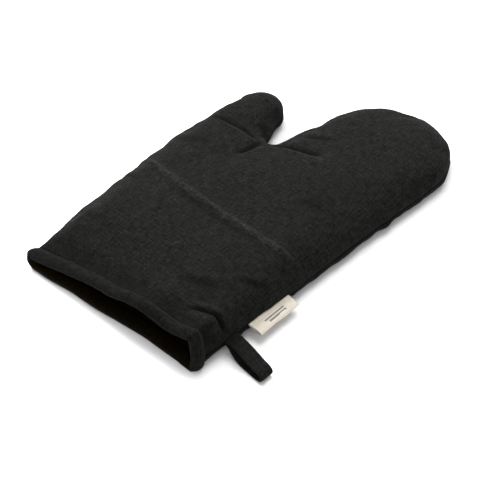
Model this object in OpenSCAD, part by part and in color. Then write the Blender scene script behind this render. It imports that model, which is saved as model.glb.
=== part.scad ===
// Padded two-panel oven mitt, lying flat on a table.
//
// Two outer shells, two layers of wadding and two lining panels, all cut to one
// mitt outline and sewn together along its edge. A turned hem closes the cuff,
// and a hanging loop and a woven side label are caught in the side seam.
//
// The cloth bends at three creases: across the middle of the hand, where the
// mitt folds in half for storage, and across the roots of the thumb and of the
// fingers. Each layer is cut at those creases, and each section turns about
// the upper face of the cloth there.
//
// Frame: +Y runs from the cuff to the fingertips, +X away from the thumb and
// +Z up. The origin is on the table, halfway along the mitt, on the cuff's
// centreline. Outline sizes are measured from the cuff's edge.

/* [Outline] */
// Length from the cuff's edge to the fingertips
mitt_len = 310; // [260:5:372]
// Width across the cuff
cuff_w = 158; // [132:1:190]
// Radius of the round end of the finger pocket
finger_r = 54; // [45:0.5:62]
// Sideways offset of the finger pocket from the centreline
finger_x = 37; // [31:1:44]
// Radius of the round end of the thumb pocket
thumb_r = 21.5; // [18:0.5:25]
// Sideways offset of the thumb pocket from the centreline
thumb_x = 67; // [60:1:74]
// Distance of the thumb's tip from the cuff's edge
thumb_len = 255; // [240:1:275]
// Radius of the crotch between thumb and fingers
crotch_r = 5.5; // [4:0.5:8]
// Sideways offset of the crotch from the centreline
crotch_x = 33.5; // [30:0.5:37]
// Distance of the crotch from the cuff's edge
crotch_y = 205; // [190:1:210]

/* [Thickness] */
// Height of the mitt at the cuff
cuff_h = 32; // [26:0.5:39]
// Height of the mitt at the fingertips
tip_h = 25; // [22:0.5:30]
// Height of the side seam above the table
seam_h = 11; // [9:0.5:13]
// Width over which the upper face rounds down to the seam
edge_w = 24; // [20:0.5:28]
// Thickness of the outer cotton
shell_t = 0.9; // [0.6:0.1:1.4]
// Thickness of the wadding
wadding_t = 5; // [3:0.25:6]
// Thickness of the lining cotton
lining_t = 0.6; // [0.4:0.1:0.9]

/* [Cuff hem] */
// Width of the turned hem
hem_w = 8.5; // [6:0.5:14]
// Width of the row of topstitching behind the hem
stitch_w = 0.8; // [0.6:0.1:1.2]

/* [Creases] */
// Distance from the cuff's edge of the crease that halves the mitt
half_crease_y = 112; // [100:1:135]
// Distance of the thumb's crease beyond the crotch
thumb_crease = 9; // [8:0.5:12]
// Distance of the fingers' crease beyond the crotch
finger_crease = 15; // [12:0.5:20]
// Clearance between two sections at a crease
crease_gap = 0.4; // [0.3:0.1:0.8]

/* [Seam thread] */
// Thickness of the sewing thread
thread_t = 0.8; // [0.6:0.1:1]

/* [Hanging loop] */
// Distance of the loop from the cuff's edge
loop_y = 34; // [24:1:40]
// Width of the loop's tape
loop_w = 12; // [9:0.5:15]
// Thickness of the loop's tape
loop_t = 1.5; // [1:0.1:2]
// How far the loop reaches from the seam
loop_len = 38; // [32:1:50]
// Angle of the loop towards the cuff
loop_lean = 9; // [0:1:15]

/* [Side label] */
// Distance of the label's middle from the cuff's edge
label_y = 71; // [66:1:78]
// Length of the label along the seam
label_w = 40; // [30:1:46]
// How far the label reaches from the seam
label_len = 13; // [10:0.5:18]
// Thickness of the label's tape
label_t = 0.35; // [0.25:0.05:0.5]

/* [Hidden] */

UP = 1;
DOWN = -1;
far = 400;                  // beyond any outline
spare = 26;                 // how far a stretch of outline runs past the section cut from it
edge_steps = 6;             // rings from the seam to the flat of a face
side_steps = 10;            // intervals along each side, round end and inner edge
thumb_steps = 10;
crotch_steps = 6;
inner_steps = 5;
finger_steps = 18;
lower_edge = 0.65;          // the lower face rounds over a narrower width than the upper one
pocket_edge = 0.85;         // share of the thumb's radius that may round down
flare_left = 8;             // angles at which the sides leave the pockets' round ends
flare_right = 5;
thumb_inner = 12;
finger_inner = 20;
cuff_flare_left = -0.13;    // slopes of the sides at the cuff's edge
cuff_flare_right = 0.05;

// Depths below the outer face at which one layer ends and the next begins
depths = [0, shell_t, shell_t + wadding_t, shell_t + wadding_t + lining_t];
OUTSIDE = 0;
UNDER_SHELL = 1;
UNDER_WADDING = 2;
INSIDE = 3;

thumb_y = thumb_len - thumb_r;
finger_y = mitt_len - finger_r;
crotch_c = [-crotch_x, crotch_y + crotch_r];
thumb_c = [-thumb_x, thumb_y];
finger_c = [finger_x, finger_y];
thumb_crease_y = crotch_y + thumb_crease;
finger_crease_y = crotch_y + finger_crease;
thumb_edge = min(edge_w, pocket_edge * thumb_r);
shell_from = hem_w + stitch_w + 0.2;   // the shells start behind the topstitching
thread_channel = thread_t + 0.4;       // room for the seam thread beside the wadding

// ---- Outline: a list of [x, y, inward angle, rounding width] ----

function ray(a) = [cos(a), sin(a)];
function hermite(t, p0, m0, p1, m1) =
  (2*t*t*t - 3*t*t + 1)*p0 + (t*t*t - 2*t*t + t)*m0 + (3*t*t - 2*t*t*t)*p1 + (t*t*t - t*t)*m1;
function mix(t, a, b) = a + (b - a)*t;
function row(p, a, w) = [p[0], p[1], a, w];

// Points on an arc of centre c; side is 1 for the material inside it, -1 for outside
function arc(c, r, from, to, n, side, w0, w1) = [
  for (i = [0:n]) let (a = mix(i/n, from, to))
    row(c + r*ray(a), side > 0 ? a + 180 : a, mix(i/n, w0, w1))
];
// A side of the hand, from the cuff's corner to where a pocket's round end begins
function side(x0, slope0, end, slope1, end_angle, angle0, w1, n) = [
  for (i = [0:n]) let (t = i/n)
    [hermite(t, x0, slope0*end[1], end[0], slope1*end[1]), t*end[1],
     mix(t*t*t, angle0, end_angle), mix(t*t, edge_w, w1)]
];
function join_left() = thumb_c + thumb_r*ray(180 + flare_left);
function join_right() = finger_c + finger_r*ray(-flare_right);
function left_side() =
  side(-cuff_w/2, cuff_flare_left, join_left(), tan(flare_left), flare_left, 0, thumb_edge, side_steps);
function right_side() =
  side(cuff_w/2, cuff_flare_right, join_right(), tan(flare_right), 180 - flare_right, 180, edge_w,
    side_steps + 1);
function inner_finger_edge(n) =
  let (p0 = crotch_c + crotch_r*ray(-finger_inner),
       p1 = finger_c + finger_r*ray(180 - flare_right), h = p1[1] - p0[1])
  [for (i = [1:n - 1]) let (t = i/n)
    [hermite(t, p0[0], tan(finger_inner)*h, p1[0], tan(flare_right)*h), mix(t, p0[1], p1[1]),
     mix(t, 360 - finger_inner, 360 - flare_right), edge_w]];
function reversed(v) = [for (i = [len(v) - 1:-1:0]) v[i]];
function without_last(v) = [for (i = [0:len(v) - 2]) v[i]];
function without_first(v) = [for (i = [1:len(v) - 1]) v[i]];

// The whole outline, clockwise from the cuff's left corner to its right one
left = left_side();
thumb_arc = arc(thumb_c, thumb_r, 180 + flare_left, thumb_inner, thumb_steps, 1, thumb_edge, thumb_edge);
crotch_arc =
  arc(crotch_c, crotch_r, 180 + thumb_inner, 360 - finger_inner, crotch_steps, -1, thumb_edge, edge_w);
finger_arc = arc(finger_c, finger_r, 180 - flare_right, -flare_right, finger_steps, 1, edge_w, edge_w);
right = reversed(right_side());
outline = concat(without_last(left), thumb_arc, crotch_arc, inner_finger_edge(inner_steps), finger_arc,
  without_first(right));

// Places along the outline
left_top = len(left) - 1;
thumb_tip = left_top + thumb_steps/2;
thumb_end = left_top + thumb_steps;
crotch = thumb_end + 1 + crotch_steps/2;
finger_start = crotch + crotch_steps/2 + inner_steps;
finger_tip = finger_start + finger_steps/2;
right_top = finger_start + finger_steps;
last = len(outline) - 1;

// x of the right-hand side seam at a distance y from the cuff's edge
function seam_x(y) =
  let (end = join_right(), t = y/end[1])
  hermite(t, cuff_w/2, cuff_flare_right*end[1], end[0], tan(flare_right)*end[1]);

// Height of the upper face: it falls evenly from the cuff to the fingertips
function top_h(y) = mix(y/mitt_len, cuff_h, tip_h);

// ---- Layers: each is the space between two nested pillow faces ----

// Point of ring j above the outline's point i, on the face at the given depth;
// inset moves the face in at the seam
function face_point(i, j, depth, inset, way) =
  let (o = outline[i], a = 90*j/edge_steps,
       w = o[3]*(way == UP ? 1 : lower_edge),
       d = mix(1 - cos(a), inset, w),
       p = [o[0], o[1]] + d*ray(o[2]),
       full = way == UP ? top_h(p[1]) - depth : depth)
  [p[0], p[1], mix(sin(a), seam_h, full)];
function face_points(columns, depth, inset, way) =
  [for (j = [0:edge_steps]) for (i = columns) face_point(i, j, depth, inset, way)];

// Stretches of the outline that a section needs, each a little longer than the section
function between(from, to, low, high) =
  [for (i = [from:to]) if (outline[i][1] > low && outline[i][1] < high) i];
left_cuff = between(0, left_top, -1, half_crease_y + spare);
left_hand = between(0, left_top, half_crease_y - spare, thumb_crease_y + spare);
left_thumb = between(0, left_top, thumb_crease_y - spare, far);
right_cuff = between(right_top, last, -1, half_crease_y + spare);
right_hand = between(right_top, last, half_crease_y - spare, finger_crease_y + spare);
right_fingers = between(right_top, last, finger_crease_y - spare, far);
inner_hand = between(thumb_end, finger_start, 0, finger_crease_y + spare);

function stretches(section) =
  section == "cuff" ? [left_cuff, right_cuff]
  : section == "hand" ? [left_hand, inner_hand, right_hand]
  : section == "thumb" ? [concat(left_thumb, [for (i = [left_top + 1:crotch]) i])]
  : [concat([for (i = [crotch:right_top - 1]) i], right_fingers)];

// Triangles between two runs of the outline that both climb away from the cuff
function cap_y(i) = outline[i][1] + outline[i][3]*sin(outline[i][2]);
function ladder(a, b, i = 0, k = 0) =
  i == len(a) - 1 && k == len(b) - 1 ? []
  : k == len(b) - 1 || (i < len(a) - 1 && cap_y(a[i + 1]) < cap_y(b[k + 1]))
    ? concat([[a[i], a[i + 1], b[k]]], ladder(a, b, i + 1, k))
    : concat([[a[i], b[k + 1], b[k]]], ladder(a, b, i, k + 1));

// Triangles of the flat middle of a section's face
function below_crotch(v) = [for (i = v) if (outline[i][1] < crotch_y - edge_w) i];
function above_crotch(v) = [for (i = v) if (outline[i][1] >= crotch_y - edge_w) i];
function cap(section) =
  section == "cuff" ? ladder(left_cuff, reversed(right_cuff))
  : section == "hand" ? hand_cap(below_crotch(left_hand), reversed(below_crotch(right_hand)))
  : section == "thumb" ? ladder(
      concat(left_thumb, [for (i = [left_top + 1:thumb_tip]) i]), [for (i = [crotch:-1:thumb_tip]) i])
  : ladder([for (i = [crotch:finger_tip]) i],
      concat(reversed(right_fingers), [for (i = [right_top - 1:-1:finger_tip]) i]));
function hand_cap(low_left, low_right) =
  let (a = low_left[len(low_left) - 1], b = low_right[len(low_right) - 1])
  concat(
    ladder(low_left, low_right),
    [[a, crotch, b]],
    ladder(concat([a], above_crotch(left_hand)), [for (i = [crotch:-1:thumb_end]) i]),
    ladder([for (i = inner_hand) if (i >= crotch) i], concat([b], reversed(above_crotch(right_hand)))));

function flip(f) = [for (v = f) reversed(v)];
function quad(a, b, c, d) = [[a, b, c], [a, c, d]];

// Upper or lower half of one section of the layer between two faces
module half_layer(section, depth_out, depth_in, inset_out, inset_in, way) {
  parts = stretches(section);
  columns = [for (part = parts) each part];
  ends = [for (part = parts) part[len(part) - 1]];
  count = len(columns);
  size = (edge_steps + 1)*count;
  J = edge_steps;
  function out(j, i) = j*count + i;
  function in(j, i) = size + out(j, i);
  function after(i) = (i + 1)%count;
  seamed = [for (i = [0:count - 1]) if (len(search(columns[i], ends)) == 0) i];
  open = [for (i = [0:count - 1]) if (len(search(columns[i], ends)) > 0) i];
  outer = [for (j = [0:J - 1]) for (i = seamed)
    each quad(out(j, i), out(j, i + 1), out(j + 1, i + 1), out(j + 1, i))];
  inner = [for (j = [0:J - 1]) for (i = seamed)
    each quad(in(j, i), in(j, i + 1), in(j + 1, i + 1), in(j + 1, i))];
  seam = [for (i = seamed) each quad(in(0, i), in(0, i + 1), out(0, i + 1), out(0, i))];
  ends_before = [for (i = open) for (j = [0:J - 1])
    each quad(in(j, i), in(j + 1, i), out(j + 1, i), out(j, i))];
  ends_after = [for (i = open) for (j = [0:J - 1]) let (k = after(i))
    each quad(out(j, k), out(j + 1, k), in(j + 1, k), in(j, k))];
  fronts = [for (i = open) let (k = after(i))
    each quad(out(J, k), out(J, i), in(J, i), in(J, k))];
  triangles = [for (f = cap(section)) if (f[0] != f[1] && f[1] != f[2] && f[2] != f[0])
    [for (i = f) search(i, columns)[0]]];
  flat_out = [for (f = triangles) [for (i = f) out(J, i)]];
  flat_in = [for (f = triangles) [for (i = f) in(J, i)]];
  faces = concat(outer, flip(inner), seam, ends_before, ends_after, fronts, flat_out, flip(flat_in));
  polyhedron(
    points = concat(face_points(columns, depth_out, inset_out, way),
      face_points(columns, depth_in, inset_in, way)),
    faces = way == UP ? faces : flip(faces),
    convexity = 8);
}

module layer(section, out, in, way, inset_more = 0) {
  half_layer(section, depths[out], depths[in], depths[out] + inset_more, depths[in], way);
}

// Both halves of a layer of the cuff, between two distances from its edge
module ring(out, in, from, to) {
  intersection() {
    union() {
      layer("cuff", out, in, UP);
      layer("cuff", out, in, DOWN);
    }
    translate([-far, from, -1]) cube([2*far, to - from, cuff_h + 2]);
  }
}

// Plan of the part of the mitt that turns as one section
function section_plan(section, from) =
  let (g = crease_gap/2, h = half_crease_y, t = thumb_crease_y, f = finger_crease_y, c = -crotch_x)
  section == "cuff" ? [[-far, from], [far, from], [far, h - g], [-far, h - g]]
  : section == "hand" ? [[-far, h + g], [far, h + g], [far, f - g], [c, f - g], [c, t - g], [-far, t - g]]
  : section == "thumb" ? [[-far, t + g], [c, t + g], [c, far], [-far, far]]
  : [[c, f + g], [far, f + g], [far, far], [c, far]];

module section_of(section, from) {
  intersection() {
    children();
    translate([0, 0, -1]) linear_extrude(cuff_h + 2) polygon(section_plan(section, from));
  }
}

// From distances measured at the cuff's edge to the mitt's own frame
module place() {
  translate([0, -mitt_len/2, 0]) children();
}

// ---- Sub-parts ----

module upper_shell(section) {
  color("#1c1c1d") place() section_of(section, shell_from) layer(section, OUTSIDE, UNDER_SHELL, UP);
}

module lower_shell(section) {
  color("#1a1a1b") place() section_of(section, shell_from) layer(section, OUTSIDE, UNDER_SHELL, DOWN);
}

module upper_wadding(section) {
  color("#e9e6de") place() section_of(section, shell_t)
    layer(section, UNDER_SHELL, UNDER_WADDING, UP, thread_channel);
}

module lower_wadding(section) {
  color("#e4e1d9") place() section_of(section, shell_t)
    layer(section, UNDER_SHELL, UNDER_WADDING, DOWN, thread_channel);
}

module upper_lining(section) {
  color("#151412") place() section_of(section, hem_w) layer(section, UNDER_WADDING, INSIDE, UP);
}

module lower_lining(section) {
  color("#141311") place() section_of(section, hem_w) layer(section, UNDER_WADDING, INSIDE, DOWN);
}

// Thread of the outer seam: a square strand that follows the outline inside the shells
module strand(columns) {
  count = len(columns);
  corners = [for (c = [[0, 0], [0, 1], [1, 1], [1, 0]]) thread_t*c + [shell_t + 0.1, -thread_t/2]];
  points = [for (i = columns) for (c = corners) let (o = outline[i])
    [o[0] + c[0]*cos(o[2]), o[1] + c[0]*sin(o[2]), seam_h + c[1]]];
  walls = [for (i = [0:count - 2]) for (k = [0:3]) let (a = 4*i + k, b = 4*i + (k + 1)%4)
    each quad(a, a + 4, b + 4, b)];
  ends = concat(quad(0, 1, 2, 3), quad(4*count - 1, 4*count - 2, 4*count - 3, 4*count - 4));
  polyhedron(points = points, faces = concat(walls, ends), convexity = 8);
}
module seam_thread(section) {
  color("#101010") place() section_of(section, shell_from)
    for (columns = stretches(section)) strand(columns);
}

// The shell's cotton turned in over the edges of the wadding and the lining
module cuff_hem() {
  color("#1e1e1f") place() difference() {
    ring(OUTSIDE, INSIDE, 0, hem_w);
    ring(UNDER_SHELL, UNDER_WADDING, shell_t, hem_w + 1);
  }
}

// Row of thread that holds the hem down
module hem_topstitch() {
  color("#0e0e0e") place() ring(OUTSIDE, UNDER_SHELL, hem_w + 0.1, hem_w + 0.1 + stitch_w);
}

// ---- Pieces caught in the side seam ----

// Smooth path through a list of points, with n steps between two of them
function smooth_path(p, n) = [
  for (i = [0:len(p) - 2]) for (s = [0:n - (i == len(p) - 2 ? 0 : 1)])
    let (m0 = (p[i + 1] - p[max(i - 1, 0)])/2, m1 = (p[min(i + 2, len(p) - 1)] - p[i])/2)
      hermite(s/n, p[i], m0, p[i + 1], m1)
];
function unit(v) = v/norm(v);
function side_step(p, i) =
  let (d = unit(p[min(i + 1, len(p) - 1)] - p[max(i - 1, 0)])) [-d[1], d[0]];
// Outline of a strip of thickness t along a path
function strip(p, t) = concat(
  [for (i = [0:len(p) - 1]) p[i] + t/2*side_step(p, i)],
  [for (i = [len(p) - 1:-1:0]) p[i] - t/2*side_step(p, i)]);

// Puts children, drawn as [outwards, up] from the seam and as wide as given, beside the
// stretch of side seam that a tape of the given span is caught in
module at_side_seam(y, span, width, lean = 0) {
  edge = max(seam_x(y - span/2), seam_x(y + span/2)) + crease_gap;
  place() translate([edge, y, seam_h]) intersection() {
    rotate([0, 0, -lean]) rotate([90, 0, 0]) linear_extrude(width, center = true) children();
    translate([0, -far/2, -far/2]) cube(far);
  }
}

loop_drop = seam_h - loop_t/2 - 0.2;   // from the seam down to the middle of the lower strand
loop_tip_r = 3.5;
loop_tip = [loop_len - loop_tip_r - loop_t/2, loop_tip_r - loop_drop];
loop_top = 0.9*loop_t;                 // middle of the upper strand where it is sewn in
loop_root = 5;                         // length that stays flat there
hidden_end = 3;                        // length drawn inside the seam and cut away

// Folded tape, sewn into the seam by both its ends, that rests on the table
module hanging_loop() {
  lower = smooth_path([[-hidden_end, -0.6*loop_t], [0.15*loop_len, -0.4*loop_drop],
    [0.3*loop_len, -0.82*loop_drop], [0.46*loop_len, -loop_drop], [loop_tip[0] - 2, -loop_drop]], 5);
  turn = [for (a = [-90:15:90]) loop_tip + loop_tip_r*ray(a)];
  upper = smooth_path([loop_tip + [-2, loop_tip_r], [0.62*loop_len, -1.6], [0.36*loop_len, 0.4],
    [loop_root + 2, loop_top]], 5);
  root = [[loop_root, loop_top], [-hidden_end, loop_top]];
  color("#1b1b1c") at_side_seam(loop_y, loop_w, loop_w, loop_lean)
    polygon(strip(concat(lower, turn, upper, root), loop_t));
}

// Rows of thread across the root of the loop
module loop_bar_tack() {
  color("#0c0c0c") at_side_seam(loop_y, loop_w, loop_w - 3, loop_lean)
    for (x = [1.2, 2.6]) translate([x, loop_top + loop_t/2]) square([thread_t, thread_t/2]);
}

label_fold_r = label_t/2 + 0.4;
label_droop = 14;

// Puts children, drawn along the label, where the label hangs a little from the seam
module along_label(width) {
  at_side_seam(label_y, label_w, width) rotate(-label_droop) children();
}

// Folded cotton tape, sewn into the seam by both its ends
module side_label() {
  fold = [label_len - label_fold_r, 0];
  turn = [for (a = [90:-15:-90]) fold + label_fold_r*ray(a)];
  path = concat([[-hidden_end, label_fold_r]], turn, [[-hidden_end, -label_fold_r]]);
  color("#e8e0cf") along_label(label_w) polygon(strip(path, label_t));
}

// Row of short stitches along the root of the label
module label_stitches() {
  pitch = 2.5;
  count = floor(label_w/pitch);
  color("#cfc6b2") for (k = [0:count - 1])
    translate([0, (k - (count - 1)/2)*pitch, 0]) along_label(0.6*pitch)
      translate([1.6, label_fold_r + label_t/2]) square([thread_t/2, thread_t/3]);
}

upper_shell("cuff");  // upper_shell_cuff
upper_shell("hand");  // upper_shell_hand
upper_shell("thumb");  // upper_shell_thumb
upper_shell("fingers");  // upper_shell_fingers
lower_shell("cuff");  // lower_shell_cuff
lower_shell("hand");  // lower_shell_hand
lower_shell("thumb");  // lower_shell_thumb
lower_shell("fingers");  // lower_shell_fingers
upper_wadding("cuff");  // upper_wadding_cuff
upper_wadding("hand");  // upper_wadding_hand
upper_wadding("thumb");  // upper_wadding_thumb
upper_wadding("fingers");  // upper_wadding_fingers
lower_wadding("cuff");  // lower_wadding_cuff
lower_wadding("hand");  // lower_wadding_hand
lower_wadding("thumb");  // lower_wadding_thumb
lower_wadding("fingers");  // lower_wadding_fingers
upper_lining("cuff");  // upper_lining_cuff
upper_lining("hand");  // upper_lining_hand
upper_lining("thumb");  // upper_lining_thumb
upper_lining("fingers");  // upper_lining_fingers
lower_lining("cuff");  // lower_lining_cuff
lower_lining("hand");  // lower_lining_hand
lower_lining("thumb");  // lower_lining_thumb
lower_lining("fingers");  // lower_lining_fingers
seam_thread("cuff");  // seam_thread_cuff
seam_thread("hand");  // seam_thread_hand
seam_thread("thumb");  // seam_thread_thumb
seam_thread("fingers");  // seam_thread_fingers
cuff_hem();
hem_topstitch();
hanging_loop();
loop_bar_tack();
side_label();
label_stitches();
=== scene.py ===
"""Looks of a padded oven mitt: cotton panels over wadding, a puffy turned hem, a loop and a label."""

import math

import bmesh
import bpy
import numpy as np
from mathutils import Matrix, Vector, geometry, kdtree, noise


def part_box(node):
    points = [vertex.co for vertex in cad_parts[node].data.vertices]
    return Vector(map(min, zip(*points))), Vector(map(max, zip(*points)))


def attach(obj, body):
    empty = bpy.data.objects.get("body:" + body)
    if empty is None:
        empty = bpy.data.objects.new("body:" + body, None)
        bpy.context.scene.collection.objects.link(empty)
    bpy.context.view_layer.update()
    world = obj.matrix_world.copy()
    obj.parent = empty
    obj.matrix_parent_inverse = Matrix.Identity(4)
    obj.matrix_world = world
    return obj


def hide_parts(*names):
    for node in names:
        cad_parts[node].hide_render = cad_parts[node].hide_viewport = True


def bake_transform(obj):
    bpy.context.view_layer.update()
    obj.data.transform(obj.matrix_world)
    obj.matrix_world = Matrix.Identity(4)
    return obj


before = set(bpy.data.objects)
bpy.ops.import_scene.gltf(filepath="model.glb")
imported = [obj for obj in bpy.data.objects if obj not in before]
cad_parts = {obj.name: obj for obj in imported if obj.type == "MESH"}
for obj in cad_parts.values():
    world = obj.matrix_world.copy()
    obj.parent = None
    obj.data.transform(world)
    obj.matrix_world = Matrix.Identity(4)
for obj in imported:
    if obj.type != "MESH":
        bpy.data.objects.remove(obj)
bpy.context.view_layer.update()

# ---- Sizes, in metres. Plan outlines are measured from the cuff's edge, as in the CAD model ----
MM = 0.001
LENGTH = 2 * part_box("upper_shell_fingers")[1].y
CUFF_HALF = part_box("cuff_hem")[1].x - 0.4 * MM
CUFF_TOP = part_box("cuff_hem")[1].z
SEAM_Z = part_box("upper_shell_cuff")[0].z
TIP_TOP = CUFF_TOP - 7 * MM
HALF_CREASE, THUMB_CREASE, FINGER_CREASE = 112 * MM, 214 * MM, 220 * MM
CUT_Y = 180 * MM            # the hand's cloth is cut here into its wrist, finger and thumb pieces
SHELL_T, WADDING_T, LINING_T = 0.9 * MM, 4.4 * MM, 0.5 * MM
FIRST_ROW = 8.0 * MM        # the panels start here, under the back edge of the hem
LOWEST = 0.15 * MM          # nothing hangs below this height
SEAM_TUCK = 1 * MM          # how far inside the outline the loop and the label leave the seam

# Width over which each face rounds down to the seam
ROUND_SIDE, ROUND_THUMB = 24 * MM, 18.3 * MM
ROUND_MOUTH_LEFT, ROUND_MOUTH_RIGHT = 14 * MM, 6 * MM
ROUND_BELOW_RIGHT, ROUND_BELOW_MOUTH = 13 * MM, 6.5 * MM
ROUND_BELOW_LEFT = 0.55     # share of the upper face's rounding

FINGER_C, FINGER_R = np.array([37, 256]) * MM, 54 * MM
THUMB_C, THUMB_R = np.array([-67, 233.5]) * MM, 21.5 * MM
CROTCH_C, CROTCH_R = np.array([-33.5, 210.5]) * MM, 5.5 * MM
CROTCH_X = CROTCH_C[0]      # the thumb's pocket lies left of this, and the fingers' right of it
LEFT_SLOPE, RIGHT_SLOPE = -0.13, 0.05       # dx/dy of the cuff's sides at its edge
# How far the sides lean in degrees where they meet the arcs
LEAN_SIDE, LEAN_THUMB, LEAN_CROTCH, LEAN_FINGERS = 8, 12, 20, 5


def smooth(t):
    t = np.clip(t, 0, 1)
    return t * t * (3 - 2 * t)


def mix(t, a, b):
    return a + (b - a) * t


def unit(v):
    """Each vector at length 1."""
    return v / np.maximum(np.linalg.norm(v, axis=1), 1e-12)[:, None]


def run_along(line):
    """Length along a line up to each of its points."""
    return np.concatenate([[0], np.cumsum(np.linalg.norm(np.diff(line, axis=0), axis=1))])


def top_height(y):
    return mix(y / LENGTH, CUFF_TOP, TIP_TOP)


def cubic(t, p0, m0, p1, m1):
    """A smooth way from p0 to p1 with the slopes m0 and m1 at its ends."""
    return (
        (2 * t**3 - 3 * t**2 + 1) * p0
        + (t**3 - 2 * t**2 + t) * m0
        + (3 * t**2 - 2 * t**3) * p1
        + (t**3 - t**2) * m1
    )


# The mouth's upper edge climbs from the flat left corner to the open right one: (x, height) in mm
MOUTH_LINE = np.array([
    (-88, 13.0), (-80, 14.0), (-70, 15.4), (-55, 18), (-39, 21), (-24, 23.5), (-8, 26.5), (8, 29.5),
    (22, 31.8), (32, 33), (40, 32.2), (48, 30.4), (57, 30.4), (67, 32.4), (77, 34.3), (90, 34.6),
]) * MM
MOUTH_REACH = 27 * MM       # how far behind the mouth the upper face takes up its full height
MOUTH_BLUR = (-5, -2.5, 0, 2.5, 5)          # it is averaged over these steps in mm, to round its corners


def upper_height(p):
    """Height of the upper face, away from its rounded edges, at places in plan."""
    taps = [np.interp(p[:, 0] + d * MM, *MOUTH_LINE.T) for d in MOUTH_BLUR]
    return mix(np.exp(-((p[:, 1] / MOUTH_REACH) ** 2)), top_height(p[:, 1]), np.mean(taps, axis=0))


# ---- Plan outline ----
def ray(degrees):
    a = np.radians(degrees)
    return np.stack([np.cos(a), np.sin(a)], axis=-1)


def arc(centre, r, a0, a1, n):
    return centre + r * ray(np.linspace(a0, a1, n))


def hermite(p0, slope0, p1, slope1, n):
    """A side that climbs from p0 to p1, with dx/dy given at both ends."""
    t = np.linspace(0, 1, n)
    h = p1[1] - p0[1]
    return np.stack([cubic(t, p0[0], slope0 * h, p1[0], slope1 * h), mix(t, p0[1], p1[1])], axis=1)


def lean(degrees):
    return math.tan(math.radians(degrees))


def clean_outline():
    """Arcs round the thumb, the crotch and the fingers, and the sides between them."""
    left_top = THUMB_C + THUMB_R * ray(180 + LEAN_SIDE)
    thumb_low = THUMB_C + THUMB_R * ray(LEAN_THUMB)
    crotch_left = CROTCH_C + CROTCH_R * ray(180 + LEAN_THUMB)
    crotch_right = CROTCH_C + CROTCH_R * ray(-LEAN_CROTCH)
    inner_top = FINGER_C + FINGER_R * ray(180 - LEAN_FINGERS)
    right_top = FINGER_C + FINGER_R * ray(-LEAN_FINGERS)
    parts = [
        hermite((-CUFF_HALF, 0), LEFT_SLOPE, left_top, lean(LEAN_SIDE), 400),
        arc(THUMB_C, THUMB_R, 180 + LEAN_SIDE, LEAN_THUMB, 200),
        np.linspace(thumb_low, crotch_left, 60)[1:-1],
        arc(CROTCH_C, CROTCH_R, 180 + LEAN_THUMB, 360 - LEAN_CROTCH, 160),
        hermite(crotch_right, lean(LEAN_CROTCH), inner_top, lean(LEAN_FINGERS), 90)[1:-1],
        arc(FINGER_C, FINGER_R, 180 - LEAN_FINGERS, -LEAN_FINGERS, 400),
        hermite((CUFF_HALF, 0), RIGHT_SLOPE, right_top, lean(LEAN_FINGERS), 400)[::-1],
    ]
    return np.concatenate(parts)


# Where the edge stands out from the clean outline, or lies inside it: (x, y, reach, push) in mm
EDGE_PUSHES = [
    (-80, 10, 8, 2.0), (-85, 70, 22, -0.8), (-84.5, 98, 4, -1.0), (-87, 88, 6, 0.8), (-88, 136, 5, -0.6),
    (-90, 160, 10, 0.6), (-91, 196, 16, 0.8), (-85, 242, 6, -1.3), (-72, 254, 7, 0.8),
    (-52, 250, 6, -0.8), (-47, 232, 15, -2.6), (-42, 210, 6, -0.8), (-23, 230, 14, 2.6),
    (-22, 250, 16, 2.6),
    (28, 307, 14, -2.4), (60, 305, 12, -0.2), (76, 294, 12, 0.8), (91, 266, 10, 0.6), (89, 207, 6, -1.2),
    (90, 189, 8, -1.3), (88, 198, 4, 0.9), (86, 128, 7, 0.5), (84, 112, 4, -0.6), (82, 73, 17, 1.3),
    (82, 49, 4, -0.7), (81, 40, 6, 0.7),
]


def edge_push(p):
    """How far the edge stands out from the clean outline, in mm."""
    push = np.zeros(len(p))
    for x, y, reach, height in EDGE_PUSHES:
        push += height * np.exp(-((np.linalg.norm(p / MM - (x, y), axis=1) / reach) ** 2))
    # The right side stands out a little, where the lower face curls under
    y = p[:, 1] / MM
    push += smooth((y - 10) / 20) * smooth((285 - y) / 60) * (p[:, 0] > 50 * MM)
    return push + 0.35 * wander(p, 13 * MM, 2.9) + 0.2 * wander(p, 6 * MM, 6.3)


def dense_outline():
    """The whole outline, from the cuff's left corner round the thumb and fingers to its right corner."""
    p = clean_outline()
    tangent = np.gradient(p, axis=0)
    outward = unit(np.stack([-tangent[:, 1], tangent[:, 0]], axis=1))
    return p + outward * edge_push(p)[:, None] * MM


def outline(step):
    """Points a step apart, closer at the crotch, and their inward directions."""
    p = dense_outline()
    near_crotch = np.linalg.norm(p - CROTCH_C, axis=1) < 2.2 * CROTCH_R
    gaps = np.linalg.norm(np.diff(p, axis=0), axis=1) * np.where(near_crotch[1:], 2.4, 1)
    along = np.concatenate([[0], np.cumsum(gaps)])
    at = np.linspace(0, along[-1], int(along[-1] / step) + 1)
    q = np.stack([np.interp(at, along, p[:, k]) for k in range(2)], axis=1)
    tangent = np.gradient(q, axis=0)
    for _ in range(3):
        tangent[1:-1] = (tangent[:-2] + 2 * tangent[1:-1] + tangent[2:]) / 4
    inward = unit(np.stack([tangent[:, 1], -tangent[:, 0]], axis=1))
    # Near the cuff inward means straight across, so that the panels end in a straight row
    level = smooth((q[:, 1] - 10 * MM) / (50 * MM))[:, None]
    across = np.stack([-np.sign(q[:, 0]), np.zeros(len(q))], axis=1)
    return q, unit(mix(level, across, inward))


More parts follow.
